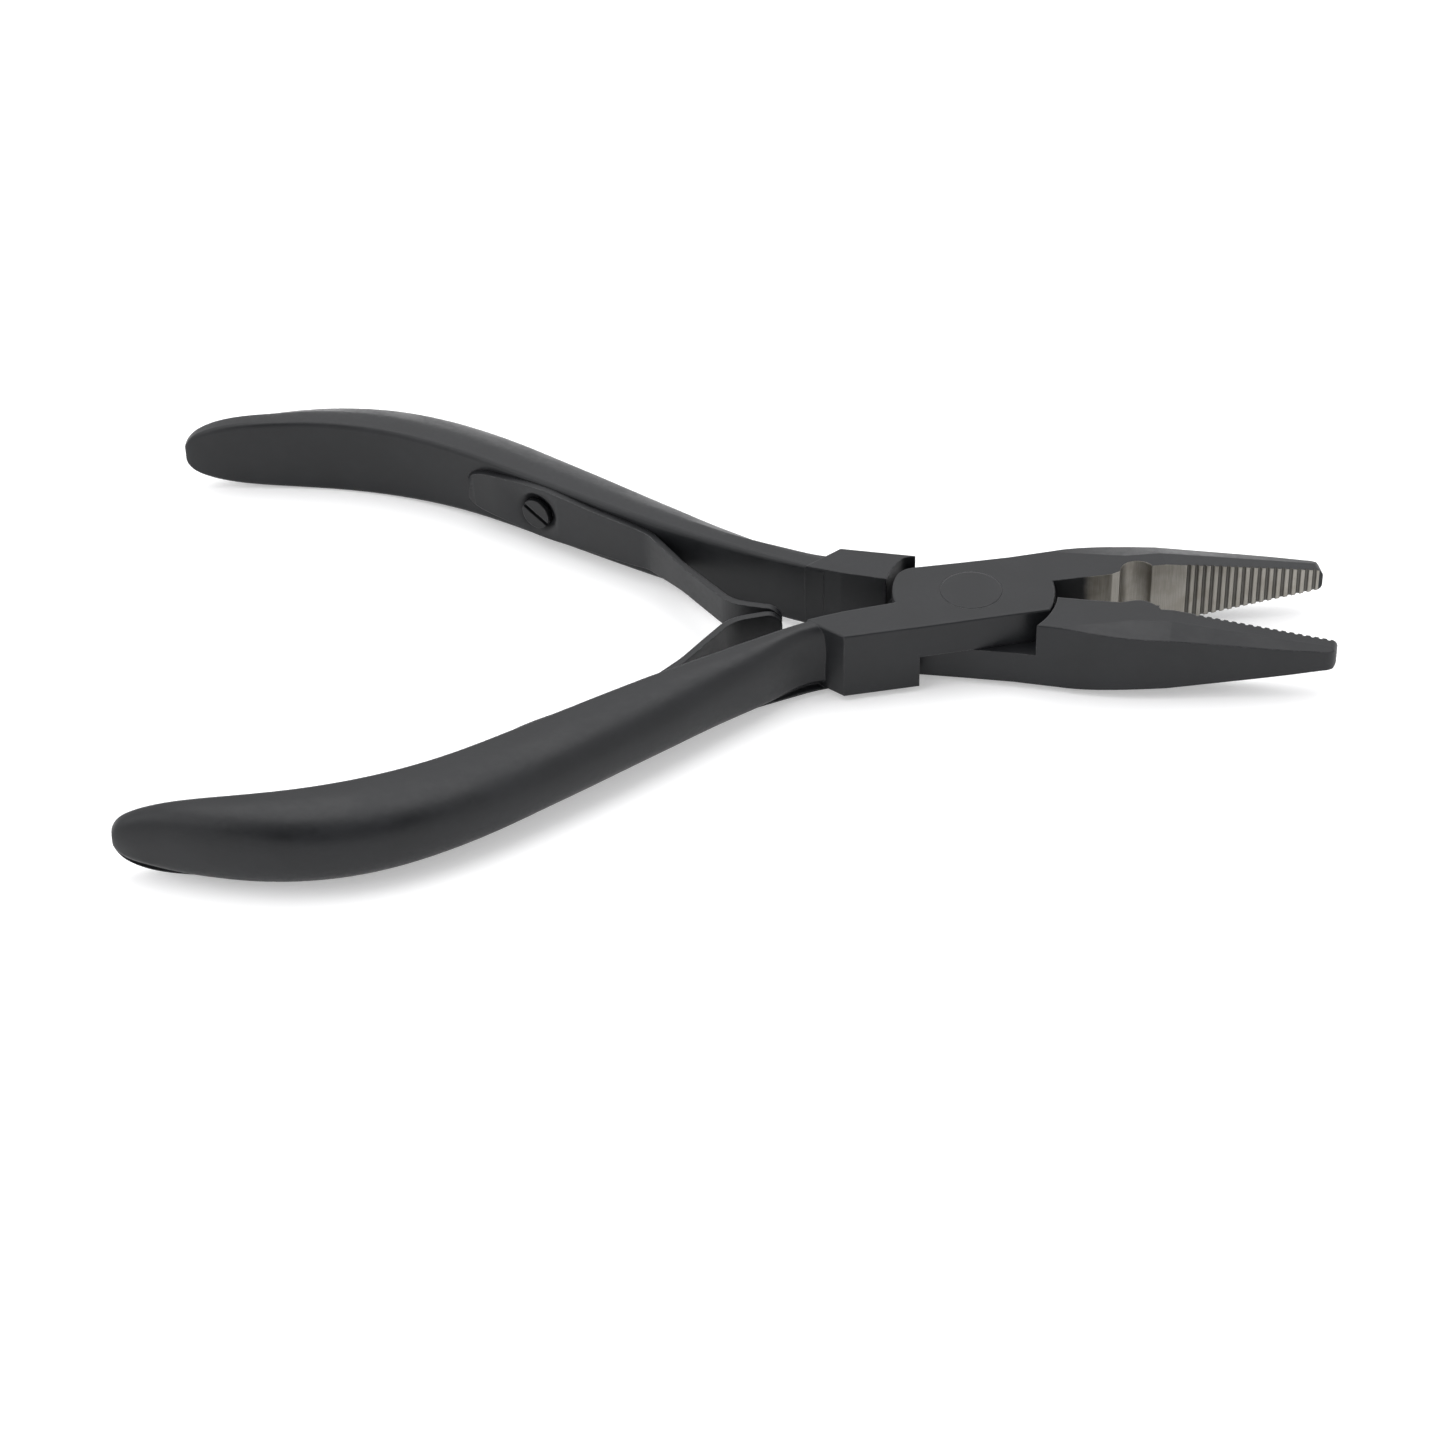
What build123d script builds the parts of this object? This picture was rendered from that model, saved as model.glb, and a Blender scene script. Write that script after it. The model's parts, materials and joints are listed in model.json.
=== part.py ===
from build123d import *
import math
import os

os.makedirs("parts", exist_ok=True)

# Flat nose pliers, lap joint, black coated steel. Millimetres.
# Pivot axis = Z, underside of the joint on z = 0, jaws toward +X, handles toward -X.
# The upper lever is drawn with the jaws shut, its jaw on +Y and its handle on -Y.
# The lower lever is the same shape turned over about X. Both are then swung open.

# ---- whole tool ----
JOINT_T = 8.8            # thickness of the joint and of the jaw roots
MID = JOINT_T / 2
OPEN_HALF = 10.2         # each lever stands open by this angle at rest
LAP_GAP = 0.04           # running gap between the two straps
FACE_GAP = 0.05          # inner jaw face to centreline, jaws shut
SEAT_GAP = 0.03          # clearance under screwed and riveted pieces

# ---- straps and blocks ----
STRAP_END_R = 10.0       # jaw-side end of a strap
STRAP_BACK_R = 9.4       # handle-side end of a strap
SWEEP_R = 10.3           # concave walls the strap ends turn in
BACK_CORNER_R = 2.8      # rounded rear corner of a strap
LIP_X = 7.5              # the lip of the shoulder ends here
LIP_Y = 5.7
LIP_CORNER_R = 1.5
STRAP_HALF = 5.68        # half width at the jaw side end
SHOULDER_HALF = 6.15     # half width at the handle side
SHOULDER_X = -16.65      # outer corner of the shoulder
SHOULDER_TIP = (-20.3, -1.88)
EDGE_R = 0.25            # rounded rims of the joint and the jaw roots
HANDLE_SIDE, TIP_SIDE = -2.0, 1.6    # no rounding between these two lines

# ---- jaws ----
JAW_TIP_X = 43.4
GRIP_LEAN = 0.9          # the inner jaw faces lean in by this angle
FRONT_X = 22.3           # the gripping face runs from here to the tip
FRONT_RELIEF = 0.75      # gap left behind the tips at FRONT_X with the jaws shut
TAPER_X = 24.0           # the jaws begin to thin here
TIP_HALF_H = 1.37
TIP_ROUND = 0.9
CHEEK_Y = 0.35           # flat of the jaw end, from the gripping face outward
NOSE_R = 1.5
# sloping outer half of the jaw top: X, half height, inner crease, outer edge, drop at the edge
ROOT_BEVEL = [
    (11.5, MID, 5.5, 6.0, 0.04),
    (19.5, MID, 3.1, 5.9, 0.68),
    (TAPER_X, MID, 2.7, 5.3, 0.95),
]
TIP_BEVEL = [
    (TAPER_X, MID, 2.7, 5.3, 0.95),
    (JAW_TIP_X + 1, TIP_HALF_H - 0.16, 0.7, 1.5, 0.2),
]
NOTCH_X = 20.3           # wire notch in the upper jaw, nib on the lower jaw
NOTCH_R = 2.1
NOTCH_EDGE = (17.2, 18.5, 0.6)      # chamfer leading into the notch: start, end, depth
NIB_UP = 0.7
TOOTH_X = 26.8           # first groove between the teeth
TOOTH_PITCH = 0.97
GROOVES = 17
GROOVE_R = 0.24

# ---- handles ----
ROOT = (-10.0, -0.62)    # start of the inner line of the handle
ROOT_HEADING = 182.0
FLARE_R, FLARE_A = 58.4, 15.1
SPREAD_R, SPREAD_A = 257.0, 5.9
STRAIGHT = 13.6
PALM_R, PALM_A = 52.7, 31.1
TAIL = 13.2
SECTION_CORNER = 0.6     # small corner along the flat inner face
NECK_FULLNESS = 0.45     # the neck is squarer than the grip
GRIP_FULLNESS = 0.8
FULLNESS_RATE = 0.012
# distance along the inner line, inset, thickness, height of each handle section
HANDLE = [
    (8.0, 0.0, 2.6, 8.75),
    (9.6, 0.0, 2.4, 8.72),
    (11.2, 0.0, 2.35, 8.7),
    (13.0, 0.0, 2.65, 8.67),
    (15.5, 0.0, 3.35, 8.6),
    (18.5, 0.0, 4.15, 8.5),
    (22.0, 0.0, 4.8, 8.42),
    (26.0, 0.0, 5.5, 8.38),
    (30.5, 0.0, 6.3, 8.38),
    (36.5, 0.0, 7.05, 8.38),
    (43.0, 0.0, 7.65, 8.45),
    (50.0, 0.0, 8.1, 8.65),
    (57.0, 0.0, 8.4, 9.0),
    (64.0, 0.05, 8.55, 9.5),
    (70.0, 0.15, 8.35, 9.95),
    (76.0, 0.18, 7.55, 10.15),
    (81.0, 0.15, 6.5, 10.05),
    (85.5, 0.18, 5.3, 9.65),
    (89.5, 0.2, 4.05, 8.95),
    (92.6, 0.2, 3.05, 7.75),
    (94.6, 0.25, 2.45, 6.3),
    (95.7, 0.3, 2.0, 4.9),
    (96.3, 0.4, 1.6, 3.5),
    (96.6, 0.6, 1.1, 2.2),
]

# ---- leaf springs ----
LEAF_T = 0.85
LEAF_ROOT = 59.0         # root end, measured along the inner line of the handle
LEAF_OFF = 32.3          # the leaf bends away from the handle here
LEAF_SCREW = 48.0
LEAF_BEND_R = 5.0
LEAF_BEND_A = 22.0
LEAF_FREE = 13.9
LEAF_TOE_R = 4.3
LEAF_TOE_A = 35.9
LEAF_TOE_L = 4.7
LEAF_TOE_END_R = 25.0
LEAF_BLANK_H = 12.0      # height of the strip before its edges are cut
# half width of the leaf on its full side, at each X
LEAF_EDGE = [(-65.6, 1.6), (-61.5, 3.2), (-55.5, 3.8), (-48.8, 3.35), (-41.6, 2.9), (-37.0, 2.2)]
LEAF_NARROW = 0.86       # the other side of the leaf is this much narrower
LEAF_TOE_HALF = 1.95
SINK_D = 6.0             # dished hole around the screw head
SINK_SLOPE = 55.0
HEAD_D = 3.9
HEAD_UP = 0.3            # the screw head stands proud of the leaf by this much
HEAD_SUNK = 0.4
SLOT_W = 0.6
SLOT_DEPTH = 0.5
SLOT_TURN = 62.0
SHANK_D = 2.5
SHANK_GAP = 0.2          # clearance of the shank in the leaf
SCREW_DEPTH = 4.6
HOLE_OVER = 0.3          # the blind hole is cut past both ends of the shank by this much

# ---- pivot rivet ----
RIVET_HEAD_R = 3.7
RIVET_SHANK_R = 2.5
RIVET_SINK = 1.2
RUN_GAP = 0.05

SIDE = Plane.XZ          # x = part X, y = part Z, normal toward -Y
GRIP = Plane.XY.rotated((0, 0, -GRIP_LEAN))    # x runs along the gripping face


def arc_point(radius, y, side):
    return (side * math.sqrt(radius**2 - y**2), y)


# Inner line of the upper handle, jaws shut.
with BuildLine() as inner:
    flare = JernArc(ROOT, (math.cos(math.radians(ROOT_HEADING)),
                           math.sin(math.radians(ROOT_HEADING))), FLARE_R, FLARE_A)
    spread = JernArc(flare @ 1, flare % 1, SPREAD_R, SPREAD_A)
    run = Line(spread @ 1, spread @ 1 + STRAIGHT * (spread % 1))
    palm = JernArc(run @ 1, run % 1, PALM_R, -PALM_A)
    Line(palm @ 1, palm @ 1 + TAIL * (palm % 1))
INNER = inner.wire()


def inner_point(s):
    return INNER.position_at(s, position_mode=PositionMode.LENGTH)


def inner_heading(s):
    return INNER.tangent_at(s, position_mode=PositionMode.LENGTH)


def inner_normal(s):
    # toward the other handle
    return inner_heading(s).rotate(Axis.Z, -90)


def handle_section(s, inset, thick, height):
    # flat toward the other handle, full and rounded toward the hand
    seat = inner_point(s) + Vector(0, 0, MID) - inset * inner_normal(s)
    plane = Plane(seat, x_dir=-inner_normal(s), z_dir=inner_heading(s))
    half = height / 2
    corner = min(SECTION_CORNER, 0.2 * thick)
    fullness = min(GRIP_FULLNESS, NECK_FULLNESS + FULLNESS_RATE * s)
    rise = []
    for step in range(1, 4):
        turn = math.radians(22.5 * step)
        rise.append((corner + (thick - corner) * math.sin(turn) ** fullness,
                     half * math.cos(turn) ** fullness))
    fall = [(x, -y) for x, y in reversed(rise)]
    with BuildSketch(plane) as section:
        with BuildLine():
            Line((0, corner - half), (0, half - corner))
            TangentArc((0, half - corner), (corner, half), tangent=(0, 1))
            Spline((corner, half), *rise, (thick, 0), *fall, (corner, -half),
                   tangents=((1, 0), (-1, 0)))
            TangentArc((0, corner - half), (corner, -half), tangent=(0, -1))
        make_face()
    return section.sketch


def grip_y(x):
    return FACE_GAP - x * math.tan(math.radians(GRIP_LEAN))


def front_y(x):
    return grip_y(x) + FRONT_RELIEF * (JAW_TIP_X - x) / (JAW_TIP_X - FRONT_X)


def upper_outline():
    # the strap over the pivot with its jaw and its shoulder, seen from above
    reach = STRAP_BACK_R - BACK_CORNER_R
    centre = Vector(arc_point(reach, 6.0 - BACK_CORNER_R, -1))
    corner_start = centre + (0, BACK_CORNER_R)
    corner_end = centre * (STRAP_BACK_R / reach)
    corner_mid = centre + BACK_CORNER_R * Vector(-0.5, 0.866)
    with BuildSketch() as outline:
        with BuildLine():
            tip = (JAW_TIP_X, grip_y(JAW_TIP_X))
            cheek = (JAW_TIP_X, CHEEK_Y)
            jaw_root = (11.0, 5.95)
            Line(tip, cheek)
            nose = TangentArc(cheek, (JAW_TIP_X - NOSE_R, CHEEK_Y + NOSE_R), tangent=(0, 1))
            Spline(nose @ 1, (38.0, 2.75), (32.0, 3.85), (26.0, 4.95), (20.0, 5.9),
                   (15.5, 6.12), jaw_root, tangents=((-1, 0.24), (-1, -0.05)))
            Polyline(jaw_root, (6.0, 5.75), (0, 5.85), corner_start)
            ThreePointArc(corner_start, corner_mid, corner_end)
            end = arc_point(STRAP_BACK_R, ROOT[1], -1)
            ThreePointArc(corner_end, arc_point(STRAP_BACK_R, 2.0, -1), end)
            Polyline(end, (-15.75, -1.13), SHOULDER_TIP, (SHOULDER_X, -SHOULDER_HALF),
                     (-6.0, -6.0), (0, -5.85), arc_point(STRAP_END_R, -STRAP_HALF, 1))
            ThreePointArc(arc_point(STRAP_END_R, -STRAP_HALF, 1),
                          arc_point(STRAP_END_R, -3.0, 1),
                          arc_point(STRAP_END_R, grip_y(STRAP_END_R), 1))
            Polyline(arc_point(STRAP_END_R, grip_y(STRAP_END_R), 1), (FRONT_X, grip_y(FRONT_X)),
                     (FRONT_X, front_y(FRONT_X)), tip)
        make_face()
    return outline.sketch


def block_outline(outline, side):
    # full thickness parts only: everything outside the sweep of the other strap
    with BuildSketch() as sweep:
        Circle(SWEEP_R)
        if side < 0:
            # the shoulder keeps a thin lip around the rounded corner of that strap
            with Locations((-LIP_X - 10, 0)):
                Rectangle(20, 2 * LIP_Y, mode=Mode.INTERSECT)
            fillet(sweep.vertices().filter_by_position(Axis.X, -9, -8), LIP_CORNER_R)
            with Locations((20 - LIP_X, 0)):
                Rectangle(40, 40)
    with BuildSketch() as blocks:
        add(outline)
        add(sweep.sketch, mode=Mode.SUBTRACT)
        with Locations((side * -30, 0)):
            Rectangle(60, 40, mode=Mode.SUBTRACT)
    return blocks.sketch


def bevel_section(x, top, crease, outer, drop):
    # triangle standing on the sloping outer half of the jaw top
    slope = drop / (outer - crease)
    with BuildSketch(Plane((x, 0, MID), x_dir=(0, 1, 0), z_dir=(1, 0, 0))) as section:
        with BuildLine():
            Polyline((crease, top), (outer + 3, top - slope * (outer + 3 - crease)),
                     (outer + 3, top + 4), close=True)
        make_face()
    return section.sketch


with BuildPart() as jaw_thinning:
    # the jaws thin evenly from both faces to a rounded tip
    with BuildSketch(SIDE) as above_jaw:
        with BuildLine():
            end = JAW_TIP_X - 0.02
            Polyline((TAPER_X, JOINT_T), (end, MID + TIP_HALF_H), (end, MID), (end + 2, MID),
                     (end + 2, JOINT_T + 2), (TAPER_X, JOINT_T + 2), close=True)
        make_face()
        fillet(above_jaw.vertices().filter_by_position(Axis.Y, MID + 1, MID + 2), TIP_ROUND)
    extrude(amount=20, both=True)
    mirror(about=Plane.XY.offset(MID))

with BuildPart() as jaw_bevel:
    # the outer half of each jaw slopes away from the flat inner half
    for stations in (ROOT_BEVEL, TIP_BEVEL):
        for station in stations:
            add(bevel_section(*station))
        loft(ruled=True)
    mirror(about=Plane.XY.offset(MID))

with BuildPart() as tooth_grooves:
    # round grooves across the gripping faces
    with BuildSketch():
        for groove in range(GROOVES):
            x = TOOTH_X + groove * TOOTH_PITCH
            with Locations((x, front_y(x))):
                Circle(GROOVE_R)
    extrude(amount=JOINT_T)

with BuildPart() as rivet_shape:
    with BuildSketch(SIDE):
        with BuildLine():
            Polyline((0, 0), (RIVET_HEAD_R, 0), (RIVET_SHANK_R, RIVET_SINK),
                     (RIVET_SHANK_R, JOINT_T - RIVET_SINK), (RIVET_HEAD_R, JOINT_T),
                     (0, JOINT_T), close=True)
        make_face()
    revolve(axis=Axis.Z)


def rivet_hole(gap):
    with BuildPart() as hole:
        with BuildSketch(SIDE):
            with BuildLine():
                Polyline((0, -1), (RIVET_HEAD_R + gap + 1, -1), (RIVET_HEAD_R + gap, 0),
                         (RIVET_SHANK_R + gap, RIVET_SINK),
                         (RIVET_SHANK_R + gap, JOINT_T - RIVET_SINK),
                         (RIVET_HEAD_R + gap, JOINT_T), (RIVET_HEAD_R + gap + 1, JOINT_T + 1),
                         (0, JOINT_T + 1), close=True)
            make_face()
        revolve(axis=Axis.Z)
    return hole.part


# Frame of the spring screw: origin on the handle face, z toward the other handle.
SCREW_PLANE = Plane(inner_point(LEAF_SCREW) + Vector(0, 0, MID), x_dir=(0, 0, 1),
                    z_dir=inner_normal(LEAF_SCREW))
LEAF_FACE = SEAT_GAP + LEAF_T    # visible face of the leaf above the handle face


def worn_rim(faces, clear=0.0):
    # rims of flat faces, apart from the gripping edge, the tip and the root of the handle
    return [edge for edge in faces.edges()
            if math.hypot((edge @ 0.5).X, (edge @ 0.5).Y) > clear
            and not HANDLE_SIDE < (edge @ 0.5).Y < TIP_SIDE]


def lever(outline, wears_notch, gap):
    with BuildPart() as handle:
        for section in HANDLE:
            add(handle_section(*section))
        loft()
    with BuildPart() as blocks:
        with BuildSketch(Plane.XY):
            add(block_outline(outline, 1))
            add(block_outline(outline, -1))
        extrude(amount=JOINT_T - 2 * EDGE_R)
        fillet(worn_rim(blocks.faces().filter_by(Axis.Z).group_by(Axis.Z)[0], SWEEP_R + 0.2), EDGE_R)
    with BuildPart() as body:
        with BuildSketch(Plane.XY.offset(MID + LAP_GAP / 2)):
            add(outline)
        extrude(amount=MID - LAP_GAP / 2)
        fillet(worn_rim(body.faces().sort_by(Axis.Z)[-1:]), EDGE_R)
        add(blocks.part)
        add(jaw_bevel.part, mode=Mode.SUBTRACT)
        add(jaw_thinning.part, mode=Mode.SUBTRACT)
        add(handle.part)
        add(tooth_grooves.part, mode=Mode.SUBTRACT)
        if wears_notch:
            with BuildSketch(GRIP):
                with Locations((NOTCH_X, FACE_GAP)):
                    Circle(NOTCH_R)
                start, end, depth = NOTCH_EDGE
                Polygon((start, -1), (start, FACE_GAP), (end, depth), (end, -1), align=None)
            extrude(amount=JOINT_T, mode=Mode.SUBTRACT)
        else:
            with BuildSketch(GRIP):
                with BuildLine():
                    crown = Spline((17.3, 0.2), (18.8, -0.4), (NOTCH_X, -NIB_UP), (21.4, -0.3),
                                   (FRONT_X + 0.3, 1.2), tangents=((1, -0.2), (0.1, 1)))
                    Line(crown @ 1, crown @ 0)
                make_face()
            extrude(amount=JOINT_T)
        add(rivet_hole(gap), mode=Mode.SUBTRACT)
        with BuildSketch(SCREW_PLANE.offset(HOLE_OVER)):
            Circle(SHANK_D / 2 + SEAT_GAP)
        extrude(amount=-SCREW_DEPTH - 2 * HOLE_OVER, mode=Mode.SUBTRACT)
    return body.part


def leaf_spring():
    # bent strip standing on the inner face of the handle, cut to its side outline
    with BuildPart() as leaf:
        with BuildSketch(Plane.XY.offset(MID - LEAF_BLANK_H / 2)):
            with BuildLine() as strip:
                base = inner_point(LEAF_ROOT) + SEAT_GAP * inner_normal(LEAF_ROOT)
                bent = LEAF_ROOT - (INNER.length - TAIL - math.radians(PALM_A) * PALM_R)
                hug = JernArc(base, -inner_heading(LEAF_ROOT), PALM_R - SEAT_GAP,
                              math.degrees(bent / PALM_R))
                lie = Line(hug @ 1, hug @ 1 + STRAIGHT * (hug % 1))
                spare = LEAF_ROOT - bent - STRAIGHT - LEAF_OFF
                follow = JernArc(lie @ 1, lie % 1, SPREAD_R + SEAT_GAP,
                                 -math.degrees(spare / SPREAD_R))
                lift = JernArc(follow @ 1, follow % 1, LEAF_BEND_R, LEAF_BEND_A)
                free = Line(lift @ 1, lift @ 1 + LEAF_FREE * (lift % 1))
                toe = JernArc(free @ 1, free % 1, LEAF_TOE_R, -LEAF_TOE_A)
                JernArc(toe @ 1, toe % 1, LEAF_TOE_END_R, -math.degrees(LEAF_TOE_L / LEAF_TOE_END_R))
                offset(amount=LEAF_T, side=Side.LEFT)
            make_face()
        extrude(amount=LEAF_BLANK_H)
        with BuildSketch(SIDE):
            with BuildLine():
                tip = strip.vertices().sort_by(Axis.X)[-1].X
                for share in (LEAF_NARROW, -1):
                    rise = [(x, MID + share * half) for x, half in LEAF_EDGE]
                    toe_half = math.copysign(LEAF_TOE_HALF, share)
                    edge = Spline(*rise, (tip - LEAF_TOE_HALF, MID + toe_half),
                                  tangents=((0.6, share), (1, 0)))
                    TangentArc(edge @ 1, (tip, MID), tangent=(1, 0))
                    Line(edge @ 0, ((edge @ 0).X, MID))
            make_face()
        extrude(amount=60, both=True, mode=Mode.INTERSECT)
        with BuildSketch(SCREW_PLANE.offset(LEAF_FACE)):
            Circle(SINK_D / 2)
        extrude(amount=-LEAF_T, taper=SINK_SLOPE, mode=Mode.SUBTRACT)
        with BuildSketch(SCREW_PLANE):
            Circle(SHANK_D / 2 + SHANK_GAP)
        extrude(amount=LEAF_FACE, mode=Mode.SUBTRACT)
    return leaf.part


def spring_screw():
    # slotted screw seated in the dished hole of the leaf
    with BuildPart() as screw:
        with BuildSketch(SCREW_PLANE.offset(-SCREW_DEPTH)):
            Circle(SHANK_D / 2)
        extrude(amount=SCREW_DEPTH + LEAF_FACE)
        with BuildSketch(SCREW_PLANE.offset(LEAF_FACE + HEAD_UP)):
            Circle(HEAD_D / 2)
        extrude(amount=-HEAD_UP - HEAD_SUNK)
        with BuildSketch(SCREW_PLANE.offset(LEAF_FACE + HEAD_UP)):
            Rectangle(HEAD_D + 1, SLOT_W, rotation=SLOT_TURN)
        extrude(amount=-SLOT_DEPTH, mode=Mode.SUBTRACT)
    return screw.part


turned_over = Axis((0, 0, MID), (1, 0, 0))
outline = upper_outline()
leaf = leaf_spring()
screw = spring_screw()

# The upper lever carries the wire notch, the rivet and the near leaf spring.
with BuildPart() as upper_lever:
    add(lever(outline, True, SEAT_GAP).rotate(Axis.Z, OPEN_HALF))
upper_lever.part.label = "upper_lever"
export_step(upper_lever.part, "parts/upper_lever.step")

# The lower lever turns on the rivet and carries the nib.
with BuildPart() as lower_lever:
    add(lever(outline, False, RUN_GAP).rotate(turned_over, 180).rotate(Axis.Z, -OPEN_HALF))
lower_lever.part.label = "lower_lever"
export_step(lower_lever.part, "parts/lower_lever.step")

with BuildPart() as pivot_rivet:
    add(rivet_shape.part)
pivot_rivet.part.label = "pivot_rivet"
export_step(pivot_rivet.part, "parts/pivot_rivet.step")

with BuildPart() as upper_leaf_spring:
    add(leaf.rotate(Axis.Z, OPEN_HALF))
upper_leaf_spring.part.label = "upper_leaf_spring"
export_step(upper_leaf_spring.part, "parts/upper_leaf_spring.step")

with BuildPart() as lower_leaf_spring:
    add(leaf.rotate(turned_over, 180).rotate(Axis.Z, -OPEN_HALF))
lower_leaf_spring.part.label = "lower_leaf_spring"
export_step(lower_leaf_spring.part, "parts/lower_leaf_spring.step")

with BuildPart() as upper_spring_screw:
    add(screw.rotate(Axis.Z, OPEN_HALF))
upper_spring_screw.part.label = "upper_spring_screw"
export_step(upper_spring_screw.part, "parts/upper_spring_screw.step")

with BuildPart() as lower_spring_screw:
    add(screw.rotate(turned_over, 180).rotate(Axis.Z, -OPEN_HALF))
lower_spring_screw.part.label = "lower_spring_screw"
export_step(lower_spring_screw.part, "parts/lower_spring_screw.step")
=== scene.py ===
import bmesh
import bpy
import json
import math
from mathutils import Matrix, Vector


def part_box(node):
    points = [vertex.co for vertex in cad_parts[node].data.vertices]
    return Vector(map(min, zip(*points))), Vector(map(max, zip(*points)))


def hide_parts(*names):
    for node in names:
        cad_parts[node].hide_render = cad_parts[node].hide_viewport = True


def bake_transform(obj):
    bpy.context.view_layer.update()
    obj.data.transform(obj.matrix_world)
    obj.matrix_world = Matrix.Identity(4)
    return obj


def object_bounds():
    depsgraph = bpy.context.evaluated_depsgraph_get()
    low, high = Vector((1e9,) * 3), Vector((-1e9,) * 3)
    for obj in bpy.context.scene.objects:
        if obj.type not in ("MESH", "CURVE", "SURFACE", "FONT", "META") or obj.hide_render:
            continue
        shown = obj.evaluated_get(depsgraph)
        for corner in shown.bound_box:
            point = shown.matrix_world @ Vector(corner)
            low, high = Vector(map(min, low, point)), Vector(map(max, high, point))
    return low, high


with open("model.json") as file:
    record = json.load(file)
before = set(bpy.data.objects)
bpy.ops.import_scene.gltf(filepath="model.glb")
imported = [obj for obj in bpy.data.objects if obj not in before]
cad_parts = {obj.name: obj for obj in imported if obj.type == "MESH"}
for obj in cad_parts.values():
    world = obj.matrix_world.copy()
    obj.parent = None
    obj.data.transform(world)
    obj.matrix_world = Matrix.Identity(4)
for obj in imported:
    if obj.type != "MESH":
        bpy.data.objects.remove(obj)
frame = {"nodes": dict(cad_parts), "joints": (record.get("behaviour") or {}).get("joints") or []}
cad_box = [list(corner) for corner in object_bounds()]

MM = 0.001
OPEN_HALF = math.radians(10.2)     # each lever stands open by this angle at rest

# ---- jaw faces, in millimetres from the pivot ----
BARE_FROM, BARE_TO = 13.8, 42.95   # uncoated stretch of the inner jaw faces
BARE_DEPTH = 0.75                  # steel shows this far past the centreline
NOTCH, NOTCH_HALF = 20.3, 2.6      # the wire notch and the stretch it takes up
NOTCH_DEPTH = 1.7                  # how much deeper the steel shows in the notch
FIRST_GROOVE, TOOTH_PITCH = 26.8, 0.97

# ---- finishes ----
COAT_COLOUR = (0.0095, 0.0101, 0.0114)
COAT_SHINE = 0.29
RUBBED_COLOUR = (0.10, 0.10, 0.105)     # worn edges of the coating
STEEL_COLOUR = (0.28, 0.268, 0.243)
STAIN_COLOUR = (0.19, 0.17, 0.145)      # blotches on the bare steel
GROOVE_SHADE_COLOUR = (0.05, 0.05, 0.047)    # painted shade in the grooves between the teeth
SPRING_COLOUR = (0.0085, 0.009, 0.0102)
SCREW_COLOUR = (0.0075, 0.0078, 0.0085)
EDGE_RADIUS = 0.22                      # millimetres

# ---- leaf springs ----
SHARP_ANGLE = math.radians(32)
LEAF_CUTS = 24
BEND_FROM, BEND_TO = 0.3, 1.3      # stretch that bends, 0 at the screw and 1 at the flex hinge

# ---- light tent: brightness at the horizon, then patches over it ----
# each patch is its axis, its outer and inner angle in degrees and its brightness
HORIZON = 1.25
TENT = (
    ((0, 0, 1), 85, 55, 1.27),
    ((0.08, -0.62, 0.78), 38, 22, 0.1),
    ((-0.62, -0.2, 0.7), 30, 14, 2.6),
    ((0.04, 0.34, 1), 29, 16, 3.5),
)


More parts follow.
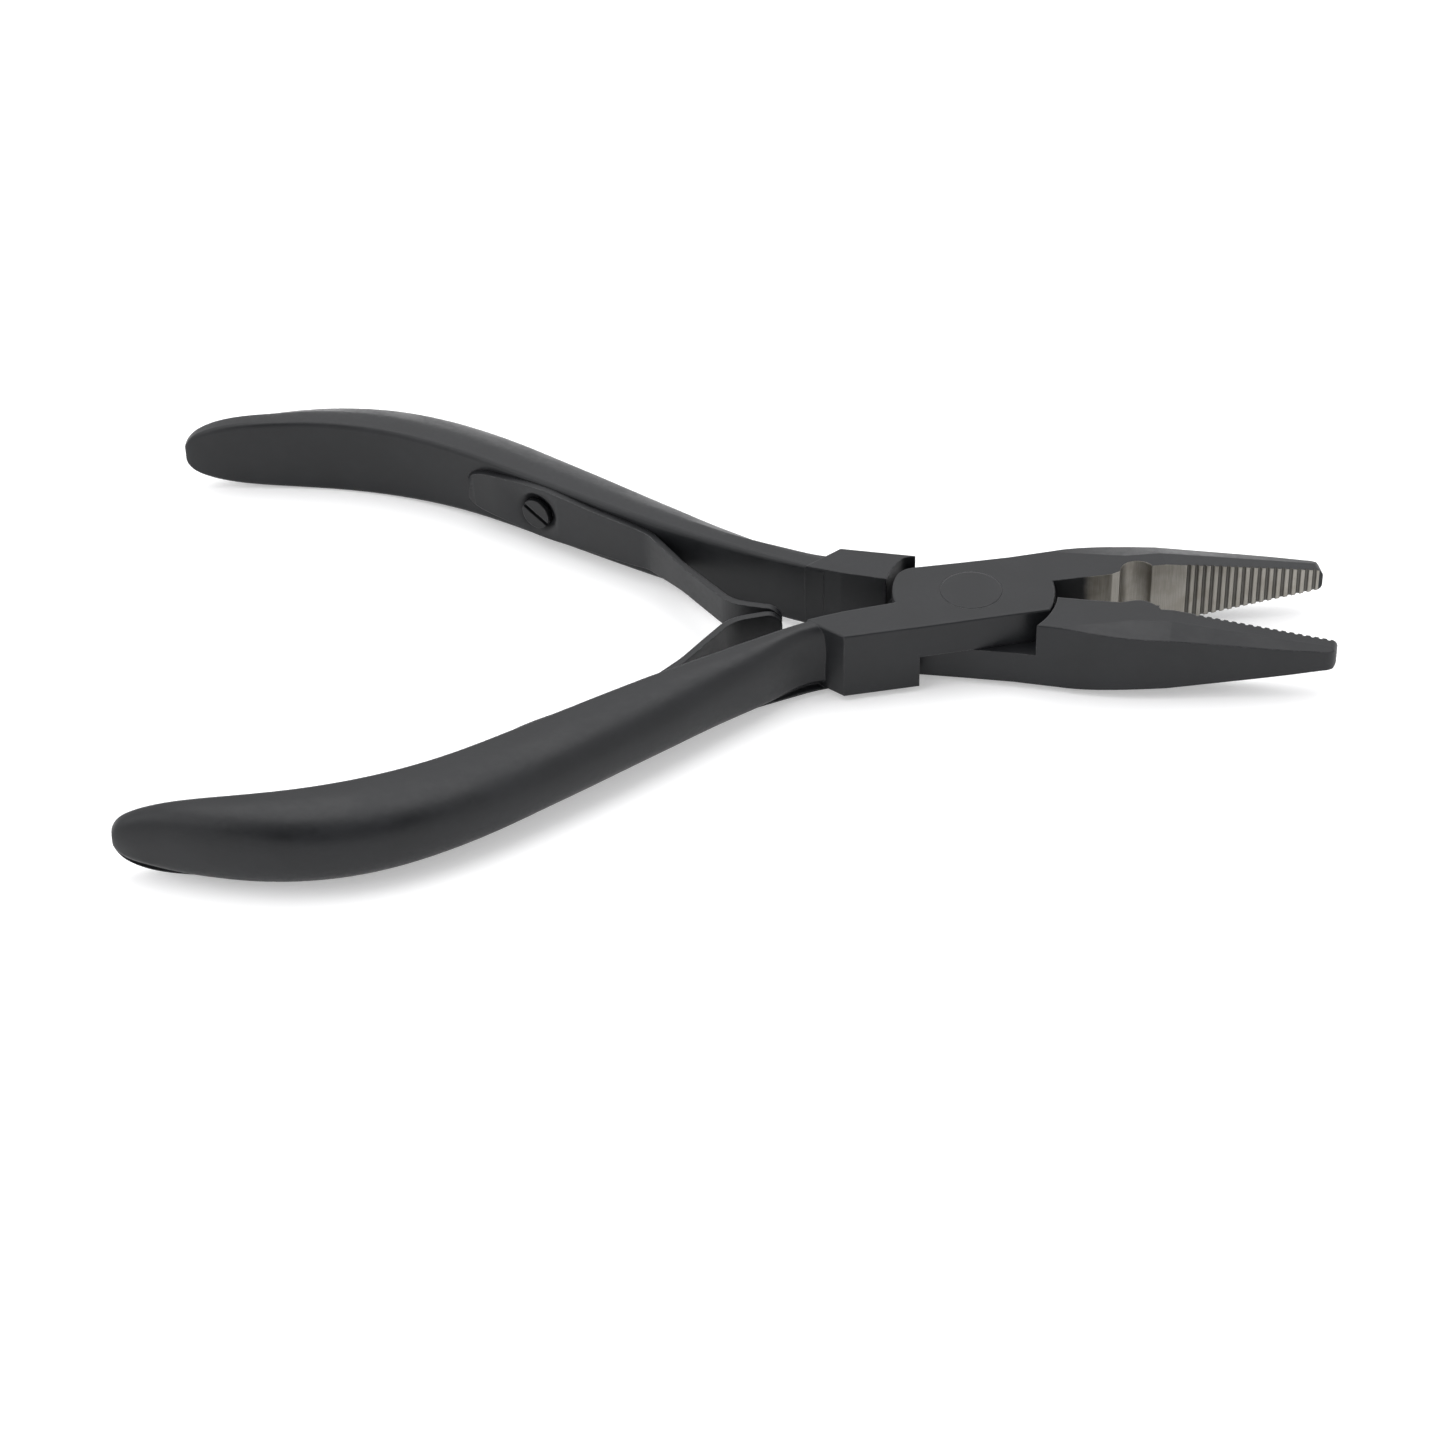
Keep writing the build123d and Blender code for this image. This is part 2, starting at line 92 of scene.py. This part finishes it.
# ---- node material helpers ----
class Tree:
    """Builds one material, node by node."""

    def __init__(self, name):
        self.material = bpy.data.materials.new(name)
        self.material.use_nodes = True
        self.tree = self.material.node_tree
        self.shader = self.tree.nodes["Principled BSDF"]

    def put(self, value, socket):
        if isinstance(value, bpy.types.NodeSocket):
            self.tree.links.new(value, socket)
        else:
            socket.default_value = value

    def set(self, **values):
        for name, value in values.items():
            self.put(value, self.shader.inputs[name.replace("_", " ")])

    def node(self, kind, **settings):
        made = self.tree.nodes.new("ShaderNode" + kind)
        for name, value in settings.items():
            setattr(made, name, value)
        return made

    def math(self, operation, a, b=0.0):
        made = self.node("Math", operation=operation)
        self.put(a, made.inputs[0])
        self.put(b, made.inputs[1])
        return made.outputs[0]

    def ramp(self, value, low, high, out_low=0.0, out_high=1.0):
        made = self.node("MapRange", interpolation_type="SMOOTHSTEP")
        for socket, number in zip(made.inputs, (value, low, high, out_low, out_high)):
            self.put(number, socket)
        return made.outputs[0]

    def mix(self, factor, a, b):
        made = self.node("Mix", data_type="RGBA")
        for socket, value in zip((made.inputs[0], made.inputs[6], made.inputs[7]), (factor, a, b)):
            self.put(value, socket)
        return made.outputs[2]

    def place(self, scale=(1, 1, 1), turn=0.0):
        # object coordinates in millimetres, turned about Z
        source = self.node("TexCoord").outputs["Object"]
        turned = self.node("VectorRotate", rotation_type="Z_AXIS")
        self.put(source, turned.inputs["Vector"])
        turned.inputs["Angle"].default_value = turn
        scaled = self.node("VectorMath", operation="MULTIPLY")
        self.put(turned.outputs[0], scaled.inputs[0])
        scaled.inputs[1].default_value = [s / MM for s in scale]
        return scaled.outputs[0]

    def noise(self, where, scale, detail=2.0, roughness=0.5):
        made = self.node("TexNoise")
        self.put(where, made.inputs["Vector"])
        for name, number in (("Scale", scale), ("Detail", detail), ("Roughness", roughness)):
            made.inputs[name].default_value = number
        return made.outputs["Fac"]

    def edges(self, radius):
        # 0 on open surfaces, 1 on edges sharper than the radius
        soft = self.node("Bevel", samples=6)
        soft.inputs["Radius"].default_value = radius * MM
        true = self.node("NewGeometry").outputs["Normal"]
        dot = self.node("VectorMath", operation="DOT_PRODUCT")
        self.put(soft.outputs[0], dot.inputs[0])
        self.put(true, dot.inputs[1])
        return self.ramp(dot.outputs["Value"], 0.985, 0.86), soft.outputs[0]

    def bump(self, height, strength, distance, normal):
        made = self.node("Bump")
        made.inputs["Strength"].default_value = strength
        made.inputs["Distance"].default_value = distance * MM
        self.put(height, made.inputs["Height"])
        self.put(normal, made.inputs["Normal"])
        return made.outputs[0]


def rgb(colour, factor=1.0):
    return (*[c * factor for c in colour], 1)


def coating(tree, where, base, worn):
    """Satin black coating: fine grain, cloudy tone, rubbed edges. Returns colour, roughness, bump, normal."""
    grain = tree.noise(where, 5.0, 3.0, 0.6)
    cloud = tree.noise(where, 0.16, 3.0, 0.55)
    scuff = tree.noise(where, 1.3, 4.0, 0.65)
    edge, soft = tree.edges(EDGE_RADIUS)
    tone = tree.mix(tree.ramp(cloud, 0.35, 0.68), rgb(base, 0.86), rgb(base, 1.16))
    tone = tree.mix(tree.ramp(scuff, 0.62, 0.8, 0.0, 0.35), tone, rgb(base, 1.7))
    rubbed = tree.math("MULTIPLY", edge, tree.ramp(scuff, 0.42, 0.66, 0.12, worn))
    tone = tree.mix(rubbed, tone, rgb(RUBBED_COLOUR))
    rough = tree.ramp(tree.math("ADD", cloud, tree.math("MULTIPLY", scuff, 0.6)), 0.55, 1.05, 0.32, 0.46)
    rough = tree.math("SUBTRACT", rough, tree.math("MULTIPLY", rubbed, 0.1))
    return tone, rough, grain, soft


def lever_material(name, side):
    """Coated lever with bare ground steel on its inner jaw face. side is 1 for the upper lever."""
    tree = Tree(name)
    where = tree.place()
    tone, rough, grain, soft = coating(tree, where, COAT_COLOUR, 0.55)
    # where the jaw was ground after coating, in the lever's own closed frame
    local = tree.node("SeparateXYZ")
    tree.put(tree.place(turn=-side * OPEN_HALF), local.inputs[0])
    along, across = local.outputs[0], tree.math("MULTIPLY", local.outputs[1], side)
    # every joint turns about Z, so the height of the true normal is the same at any pose
    facing = tree.node("SeparateXYZ")
    tree.put(tree.node("NewGeometry").outputs["True Normal"], facing.inputs[0])
    upright = tree.ramp(tree.math("ABSOLUTE", facing.outputs[2]), 0.75, 0.45)
    ragged = tree.math("MULTIPLY", tree.noise(where, 1.1, 2.0), 0.5)
    start = tree.ramp(tree.math("SUBTRACT", along, ragged), BARE_FROM - 0.5, BARE_FROM + 0.9)
    stop = tree.ramp(along, BARE_TO, BARE_TO - 0.1)
    in_notch = tree.math("COMPARE", along, NOTCH)
    in_notch.node.inputs[2].default_value = NOTCH_HALF
    depth = tree.math("ADD", BARE_DEPTH, tree.math("MULTIPLY", in_notch, NOTCH_DEPTH))
    shallow = tree.math("LESS_THAN", across, depth)
    bare = tree.math("MULTIPLY", tree.math("MULTIPLY", start, stop), tree.math("MULTIPLY", upright, shallow))
    # grinding lines run up the face
    lines = tree.noise(tree.place((9, 9, 0.35)), 1.0, 3.0, 0.6)
    blotch = tree.noise(where, 0.45, 3.0)
    steel = tree.mix(tree.ramp(lines, 0.3, 0.7), rgb(STEEL_COLOUR, 0.84), rgb(STEEL_COLOUR, 1.12))
    steel = tree.mix(tree.ramp(blotch, 0.4, 0.75, 0.0, 0.5), steel, rgb(STAIN_COLOUR))
    # painted shade: the grooves between the teeth are darkened in the colour
    cycle = tree.math("DIVIDE", tree.math("SUBTRACT", along, FIRST_GROOVE - TOOTH_PITCH / 2), TOOTH_PITCH)
    off_groove = tree.math("ABSOLUTE", tree.math("SUBTRACT", tree.math("FRACT", cycle), 0.5))
    groove_shade = tree.math("MULTIPLY", tree.ramp(off_groove, 0.3, 0.16), tree.math("GREATER_THAN", cycle, 0.0))
    steel = tree.mix(tree.math("MULTIPLY", groove_shade, 0.75), steel, rgb(GROOVE_SHADE_COLOUR))
    tree.set(Base_Color=tree.mix(bare, tone, steel),
             Metallic=bare,
             Roughness=tree.math("ADD", tree.math("MULTIPLY", rough, tree.math("SUBTRACT", 1.0, bare)),
                                 tree.math("MULTIPLY", tree.ramp(lines, 0.2, 0.8, 0.34, 0.5), bare)),
             Specular_IOR_Level=COAT_SHINE)
    relief = tree.math("ADD", grain, tree.math("MULTIPLY", tree.math("MULTIPLY", lines, bare), 1.5))
    tree.set(Normal=tree.bump(relief, 0.3, 0.02, soft))
    return tree.material


def plain_coat(name, base, worn, level):
    """Coating alone, for the springs, screws and rivet."""
    tree = Tree(name)
    tone, rough, grain, soft = coating(tree, tree.place(), base, worn)
    tree.set(Base_Color=tone, Roughness=rough, Specular_IOR_Level=level,
             Normal=tree.bump(grain, 0.25, 0.015, soft))
    return tree.material


# ---- pieces ----
def smooth_copy(node, name, material):
    """A welded copy of a CAD node, smooth except at its sharp edges."""
    source = frame["nodes"][node]
    mesh = bpy.data.meshes.new(name)
    work = bmesh.new()
    work.from_mesh(source.data)
    bmesh.ops.remove_doubles(work, verts=work.verts, dist=1e-6)
    for face in work.faces:
        face.smooth = True
        face.material_index = 0
    work.to_mesh(mesh)
    work.free()
    mesh.materials.append(material)
    mesh.set_sharp_from_angle(angle=SHARP_ANGLE)
    piece = bpy.data.objects.new(name, mesh)
    bpy.context.scene.collection.objects.link(piece)
    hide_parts(node)
    return piece


def bending_leaf(half, material):
    """The leaf is screwed down at one end and bends around the flex hinge, where it is cut into lengths."""
    joint = next(j for j in frame["joints"] if j["name"] == f"{half}_leaf_flex")
    hinge = Vector(joint["pos_m"])
    low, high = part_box(f"{half}_spring_screw")
    screw = (low + high) / 2
    screw.z = hinge.z
    start = screw.lerp(hinge, BEND_FROM)
    end = screw.lerp(hinge, BEND_TO)
    piece = smooth_copy(f"{half}_leaf_spring", f"{half}_leaf_strip", material)
    work = bmesh.new()
    work.from_mesh(piece.data)
    for cut in range(LEAF_CUTS + 1):
        bmesh.ops.bisect_plane(work, geom=work.verts[:] + work.edges[:] + work.faces[:], dist=1e-7,
                               plane_co=start.lerp(end, cut / LEAF_CUTS), plane_no=end - start)
    work.to_mesh(piece.data)
    work.free()
    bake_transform(piece)


def paint(node, material):
    """CAD nodes keep their own mesh and take the material."""
    holder = frame["nodes"][node]
    holder.data.materials.clear()
    holder.data.materials.append(material)


for half, side in (("upper", 1), ("lower", -1)):
    paint(f"{half}_lever", lever_material(f"{half}_lever_finish", side))

spring_finish = plain_coat("spring_finish", SPRING_COLOUR, 0.7, 0.32)
screw_finish = plain_coat("screw_finish", SCREW_COLOUR, 0.5, 0.28)
rivet_finish = plain_coat("rivet_finish", COAT_COLOUR, 0.3, COAT_SHINE)
for half in ("upper", "lower"):
    bending_leaf(half, spring_finish)
    paint(f"{half}_spring_screw", screw_finish)
paint("pivot_rivet", rivet_finish)


# ---- floor ----
def make_floor():
    size = 3.0
    mesh = bpy.data.meshes.new("floor")
    mesh.from_pydata([(-size, -size, 0), (size, -size, 0), (size, size, 0), (-size, size, 0)],
                     [], [(0, 1, 2, 3)])
    tree = Tree("floor_white")
    # white acrylic table lit from below, so that shadows stay pale
    tree.set(Base_Color=(0.76, 0.76, 0.76, 1), Roughness=0.8, Specular_IOR_Level=0.1,
             Emission_Color=(1, 1, 1, 1), Emission_Strength=0.34)
    mesh.materials.append(tree.material)
    floor = bpy.data.objects.new("floor", mesh)
    floor.location = (0, 0, cad_box[0][2])
    bpy.context.scene.collection.objects.link(floor)


# ---- light ----
def make_world():
    """A white tent, brighter overhead, dark where it opens toward the camera."""
    world = bpy.data.worlds.new("world")
    bpy.context.scene.world = world
    world.use_nodes = True
    nodes, links = world.node_tree.nodes, world.node_tree.links
    direction = nodes.new("ShaderNodeTexCoord").outputs["Generated"]
    level = None
    for axis, outer, inner, tone in TENT:
        aligned = nodes.new("ShaderNodeVectorMath")
        aligned.operation = "DOT_PRODUCT"
        aligned.inputs[1].default_value = Vector(axis).normalized()
        links.new(direction, aligned.inputs[0])
        share = nodes.new("ShaderNodeMapRange")
        share.interpolation_type = "SMOOTHSTEP"
        links.new(aligned.outputs["Value"], share.inputs[0])
        share.inputs[1].default_value = math.cos(math.radians(outer))
        share.inputs[2].default_value = math.cos(math.radians(inner))
        blend = nodes.new("ShaderNodeMix")
        blend.data_type = "RGBA"
        links.new(share.outputs[0], blend.inputs[0])
        blend.inputs[6].default_value = (HORIZON, HORIZON, HORIZON * 1.01, 1)
        blend.inputs[7].default_value = (tone, tone, tone * 1.01, 1)
        if level is not None:
            links.new(level, blend.inputs[6])
        level = blend.outputs[2]
    background = nodes["Background"]
    links.new(level, background.inputs[0])
    background.inputs[1].default_value = 1.0


def make_camera():
    """A long lens from above the near side, leaning over very slightly."""
    data = bpy.data.cameras.new("camera")
    data.sensor_width = 36.0
    data.lens = 97.86
    data.clip_start = 0.01
    data.clip_end = 50
    camera = bpy.data.objects.new("camera", data)
    bpy.context.scene.collection.objects.link(camera)
    right = Vector((0.9999, 0.01414, 0))
    up = Vector((-0.0087, 0.6156, 0.7880))
    roll = 0.0232
    across = right - roll * up
    above = roll * right + up
    back = Vector((0.0111, -0.7879, 0.6157))
    axes = Matrix((across, above, back)).transposed().to_4x4()
    camera.matrix_world = Matrix.Translation((-0.02453, -0.3767, 0.28376)) @ axes
    bpy.context.scene.camera = camera


make_floor()
make_world()
make_camera()
bpy.context.scene.view_settings.view_transform = "Standard"
